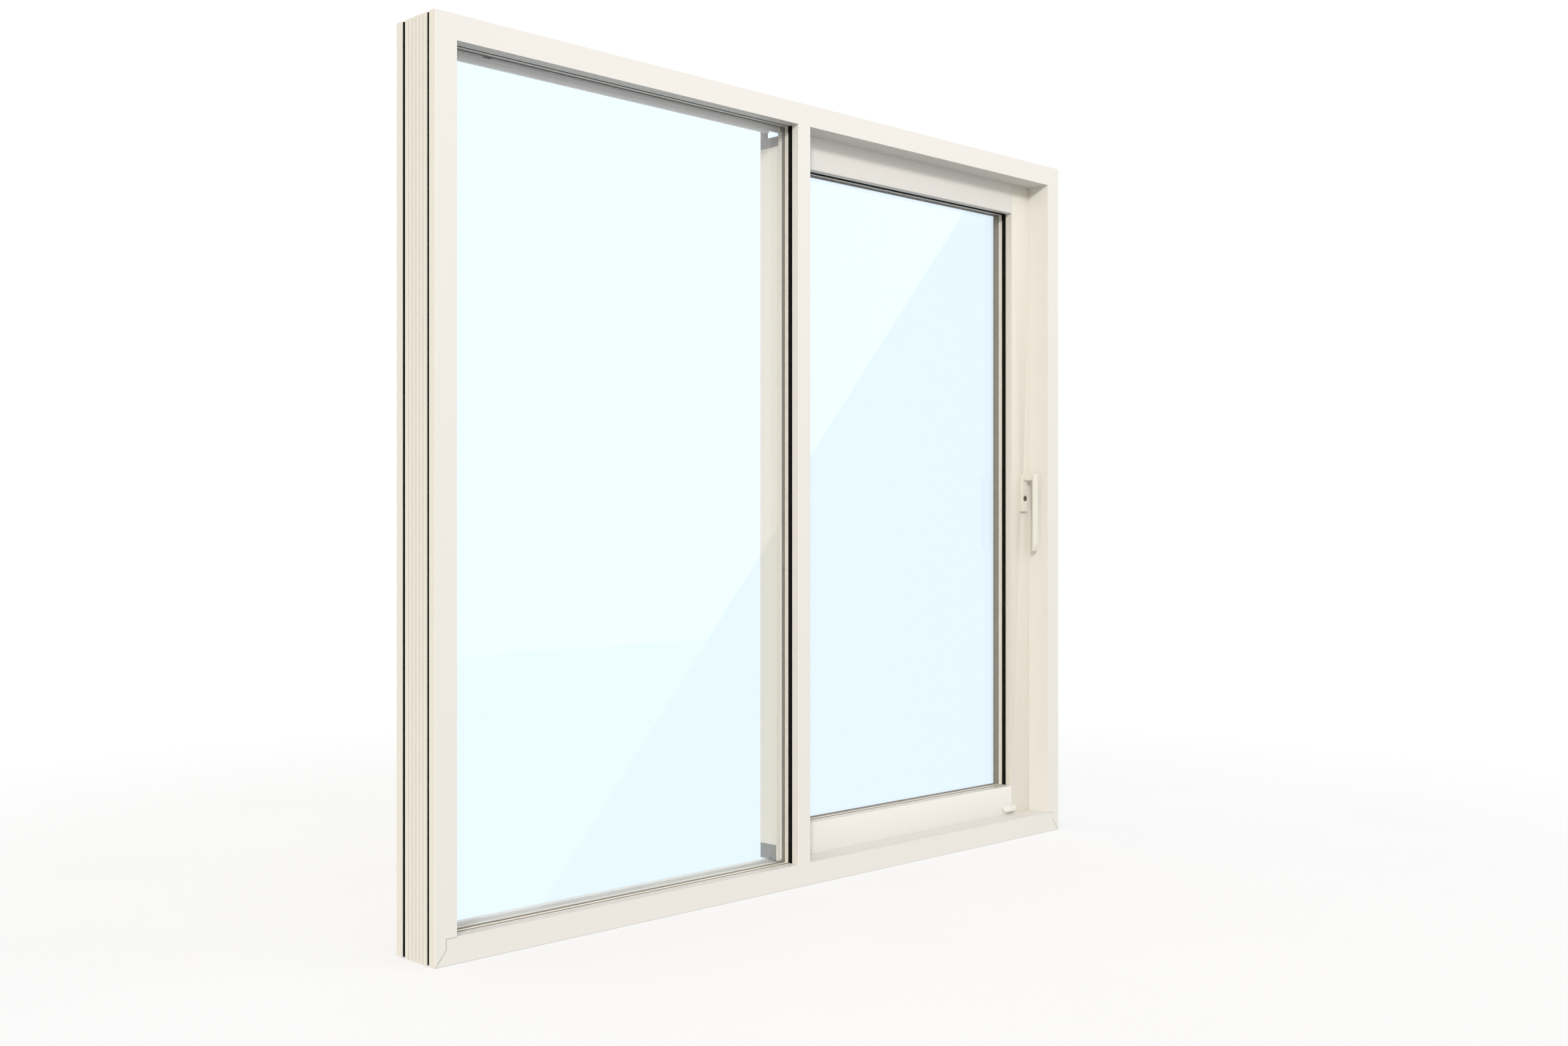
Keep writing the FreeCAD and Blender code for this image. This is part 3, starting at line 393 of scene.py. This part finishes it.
def hood():
    """The drain cap: a shallow half-round hood, open below, with a flat back."""
    lo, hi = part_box("drain_cap")
    cx, w = (lo.x + hi.x) / 2, (hi.x - lo.x) / 2
    h = hi.z - lo.z
    bm = bmesh.new()
    rows = []
    for i in range(17):
        v = i / 16.0
        rise = math.sqrt(max(0.0, 1.0 - v ** 2.4))
        ring = []
        for k in range(33):
            u = -1.0 + 2.0 * k / 32.0
            side = math.sqrt(max(0.0, 1.0 - abs(u) ** 2.6))
            drop = h * (1.0 - 0.93 * (1.0 - side) * (1.0 - v))
            z = hi.z - drop * (1.0 - v)
            y = hi.y - (hi.y - lo.y) * side * rise * 0.98
            ring.append(bm.verts.new((cx + w * u, min(y, hi.y - 0.0002), z)))
        rows.append(ring)
    for a, b in zip(rows, rows[1:]):
        for k in range(32):
            bm.faces.new((a[k], b[k], b[k + 1], a[k + 1]))
    back = [[bm.verts.new((v.co.x, hi.y, v.co.z)) for v in ring] for ring in (rows[0], rows[-1])]
    for ring, flat in ((rows[0], back[0]), (rows[-1], back[1])):
        for k in range(32):
            bm.faces.new((ring[k], ring[k + 1], flat[k + 1], flat[k]))
    for e in (0, 32):
        bm.faces.new([r[e] for r in rows] + [back[1][e], back[0][e]])
    for k in range(32):
        bm.faces.new((back[0][k], back[0][k + 1], back[1][k + 1], back[1][k]))
    bmesh.ops.remove_doubles(bm, verts=bm.verts, dist=1e-7)
    bmesh.ops.recalc_face_normals(bm, faces=bm.faces)
    me = bpy.data.meshes.new("drain_hood")
    bm.to_mesh(me)
    bm.free()
    for f in me.polygons:
        f.use_smooth = abs(f.normal.z) < 0.9
    o = bpy.data.objects.new("drain_hood", me)
    scene.collection.objects.link(o)
    give(o, two_tone("cap_shaded", (0.24, 0.22, 0.19), (0.70, 0.685, 0.65), lo.z + 0.0022, 1.04, 0.0012))
    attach(o, N["drain_cap"]["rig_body"])
    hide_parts("drain_cap")
    return o


hood()


# ------------------------------------------------------------------ stage
SUN_DIR, SUN_POWER, SUN_ANGLE, SUN_TINT = (-1.12, -1.0, 0.47), 1.58, 7.0, (1.0, 0.965, 0.905)
SKY_LOW, SKY_HIGH, SKY_GLOSS, SKY_SEEN = 0.36, 0.82, 0.60, 1.06
SKY_FRONT, SKY_SIDE = 0.20, 0.27
SKY_BOUNCE = 0.55
THROUGH = (0.862, 0.985, 1.090)
CARD = 1.22
TOP_POWER = 10.0


def plane(name, verts, m):
    me = bpy.data.meshes.new(name)
    me.from_pydata(verts, [], [tuple(range(len(verts)))])
    o = bpy.data.objects.new(name, me)
    scene.collection.objects.link(o)
    me.materials.append(m)
    return o


def link_math(t, op, a, b=None, clamp=False):
    n = t.nodes.new("ShaderNodeMath")
    n.operation = op
    n.use_clamp = clamp
    for i, v in enumerate((a, b)):
        if v is None:
            continue
        if hasattr(v, "is_linked"):
            t.links.new(v, n.inputs[i])
        else:
            n.inputs[i].default_value = v
    return n.outputs[0]


def floor():
    """A pale floor: part diffuse, so it takes soft shadows, part its own light; it fades into the white backdrop."""
    m, t, p, out = mat("floor_pale")
    n = noise(t, coords(t, (1, 1, 1)), 1.5, 2.0, 0.5)
    t.links.new(ramp(t, n, [(0.3, (0.383, 0.387, 0.405)), (0.7, (0.393, 0.397, 0.415))]), p.inputs["Base Color"])
    p.inputs["Roughness"].default_value = 0.95
    p.inputs["Specular IOR Level"].default_value = 0.0
    p.inputs["Emission Color"].default_value = (1.0, 1.0, 1.0, 1.0)
    p.inputs["Emission Strength"].default_value = FLOOR_GLOW
    tc = t.nodes.new("ShaderNodeTexCoord")
    ln = t.nodes.new("ShaderNodeVectorMath")
    ln.operation = "LENGTH"
    t.links.new(tc.outputs["Object"], ln.inputs[0])
    far = rng(t, ln.outputs["Value"], 0.0, 1.0, 2.2, 5.5)
    white = t.nodes.new("ShaderNodeEmission")
    white.inputs["Strength"].default_value = SKY_SEEN
    fade = t.nodes.new("ShaderNodeMixShader")
    t.links.new(far, fade.inputs[0])
    t.links.new(p.outputs[0], fade.inputs[1])
    t.links.new(white.outputs[0], fade.inputs[2])
    lp = t.nodes.new("ShaderNodeLightPath")
    tint = t.nodes.new("ShaderNodeEmission")
    tint.inputs["Color"].default_value = (*THROUGH, 1.0)
    sel = t.nodes.new("ShaderNodeMixShader")
    t.links.new(lp.outputs["Is Transmission Ray"], sel.inputs[0])
    t.links.new(fade.outputs[0], sel.inputs[1])
    t.links.new(tint.outputs[0], sel.inputs[2])
    bounced = link_math(t, "GREATER_THAN", lp.outputs["Diffuse Depth"], 0.5)
    low = t.nodes.new("ShaderNodeEmission")
    low.inputs["Strength"].default_value = SKY_BOUNCE
    last = t.nodes.new("ShaderNodeMixShader")
    t.links.new(bounced, last.inputs[0])
    t.links.new(sel.outputs[0], last.inputs[1])
    t.links.new(low.outputs[0], last.inputs[2])
    t.links.new(last.outputs[0], out.inputs[0])
    o = plane("floor", [(-60, -60, -0.0005), (60, -60, -0.0005), (60, 60, -0.0005), (-60, 60, -0.0005)], m)
    o.visible_diffuse = False
    o.visible_glossy = False
    return o


FLOOR_GLOW = 0.545
floor()

world = bpy.data.worlds.new("studio")
scene.world = world
world.use_nodes = True
wt = world.node_tree
wt.nodes.clear()
wo = wt.nodes.new("ShaderNodeOutputWorld")
lp = wt.nodes.new("ShaderNodeLightPath")
tc = wt.nodes.new("ShaderNodeTexCoord")
sep = wt.nodes.new("ShaderNodeSeparateXYZ")
wt.links.new(tc.outputs["Generated"], sep.inputs[0])


def wrange(v, a, b, lo, hi):
    mr = wt.nodes.new("ShaderNodeMapRange")
    mr.inputs["From Min"].default_value = a
    mr.inputs["From Max"].default_value = b
    mr.inputs["To Min"].default_value = lo
    mr.inputs["To Max"].default_value = hi
    wt.links.new(v, mr.inputs["Value"])
    return mr.outputs["Result"]


# what lights the object: an even dome, a little stronger from the front
dome = link_math(wt, "ADD", wrange(sep.outputs["Z"], -0.35, 0.35, SKY_LOW, SKY_HIGH),
                 wrange(sep.outputs["Y"], -1.0, 0.0, SKY_FRONT, 0.0))
dome = link_math(wt, "ADD", dome, wrange(sep.outputs["X"], -1.0, 0.0, SKY_SIDE, 0.0))
light = wt.nodes.new("ShaderNodeMix")
light.data_type = "RGBA"
wt.links.new(wrange(sep.outputs["X"], -0.9, -0.1, 1.0, 0.0), light.inputs[0])
light.inputs[6].default_value = (1.0, 1.0, 0.995, 1.0)
light.inputs[7].default_value = (1.0, 0.91, 0.70, 1.0)
tinted = wt.nodes.new("ShaderNodeVectorMath")
tinted.operation = "SCALE"
wt.links.new(light.outputs[2], tinted.inputs[0])
wt.links.new(dome, tinted.inputs["Scale"])


def wpick(fac, a, b):
    n = wt.nodes.new("ShaderNodeMix")
    n.data_type = "RGBA"
    wt.links.new(fac, n.inputs[0])
    for sock, v in ((n.inputs[6], a), (n.inputs[7], b)):
        if hasattr(v, "is_linked"):
            wt.links.new(v, sock)
        else:
            sock.default_value = (*v, 1.0)
    return n.outputs[2]


col = wpick(lp.outputs["Is Glossy Ray"], tinted.outputs[0], (SKY_GLOSS, SKY_GLOSS, SKY_GLOSS))
# a pane seen from a lit face adds only part of the sky: most light through it is already counted by its clear shadow
bounced = wt.nodes.new("ShaderNodeMix")
bounced.data_type = "RGBA"
wt.links.new(link_math(wt, "GREATER_THAN", lp.outputs["Diffuse Depth"], 0.5), bounced.inputs[0])
bounced.inputs[6].default_value = (*THROUGH, 1.0)
bounced.inputs[7].default_value = (2.3, 1.9, 1.5, 1.0)
col = wpick(lp.outputs["Is Transmission Ray"], col, bounced.outputs[2])
col = wpick(lp.outputs["Is Camera Ray"], col, (SKY_SEEN, SKY_SEEN, SKY_SEEN))
bg = wt.nodes.new("ShaderNodeBackground")
wt.links.new(col, bg.inputs[0])
wt.links.new(bg.outputs[0], wo.inputs[0])

sun = bpy.data.lights.new("sun", "SUN")
sun.energy = SUN_POWER
sun.angle = math.radians(SUN_ANGLE)
sun.color = SUN_TINT
so = bpy.data.objects.new("sun", sun)
scene.collection.objects.link(so)
so.rotation_euler = (-Vector(SUN_DIR)).to_track_quat("-Z", "Y").to_euler()
so.location = (-3, -3, 4)
so.visible_glossy = False
so.visible_transmission = False


top = bpy.data.lights.new("softbox", "AREA")
top.shape = "RECTANGLE"
top.size, top.size_y = 4.0, 1.2
top.energy = TOP_POWER
to = bpy.data.objects.new("softbox", top)
scene.collection.objects.link(to)
to.location = (0.3, -1.9, 3.1)
to.rotation_euler = (Vector((0.2, 0.0, 1.9)) - to.location).to_track_quat("-Z", "Y").to_euler()
to.visible_camera = False
to.visible_glossy = False
to.visible_transmission = False


def reflected_card():
    """A bright card that only reflections see; its slanting edge crosses both panes."""
    eye = Vector((-3.125, -3.125, 0.9653))
    f, r, u = Vector((0.70711, 0.70711, 0)), Vector((0.70711, -0.70711, 0)), Vector((0, 0, 1))
    glass_y = -0.04
    pts = []
    for px, py in ((-400, -400), (1910, -400), (582, 1725), (-400, 1725)):
        d = f + r * ((px - 1175.0) / 2462.0) + u * ((784.0 - py) / 2462.0)
        t = (glass_y - eye.y) / d.y
        hit = eye + d * t
        back = Vector((d.x, -d.y, d.z))
        k = (-7.0 - hit.y) / back.y
        pts.append(tuple(hit + back * k))
    m, t, p, out = mat("card_white")
    t.nodes.remove(p)
    e = t.nodes.new("ShaderNodeEmission")
    e.inputs["Strength"].default_value = CARD
    lp = t.nodes.new("ShaderNodeLightPath")
    clear = t.nodes.new("ShaderNodeBsdfTransparent")
    sel = t.nodes.new("ShaderNodeMixShader")
    t.links.new(link_math(t, "GREATER_THAN", lp.outputs["Diffuse Depth"], 0.5), sel.inputs[0])
    t.links.new(e.outputs[0], sel.inputs[1])
    t.links.new(clear.outputs[0], sel.inputs[2])
    t.links.new(sel.outputs[0], out.inputs[0])
    o = plane("card", pts, m)
    o.visible_camera = False
    o.visible_diffuse = False
    o.visible_transmission = True
    o.visible_shadow = False
    o.visible_volume_scatter = False
    return o


reflected_card()

# ------------------------------------------------------------------ camera
cam_d = bpy.data.cameras.new("camera")
cam = bpy.data.objects.new("camera", cam_d)
scene.collection.objects.link(cam)
scene.camera = cam
cam_d.sensor_width = 36.0
cam_d.lens = 2462.0 / 2350.0 * 36.0
cam_d.clip_end = 200.0
cam.location = (-3.125, -3.125, 0.9653)
cam.rotation_euler = (math.radians(90.0), 0.0, math.radians(-45.0))
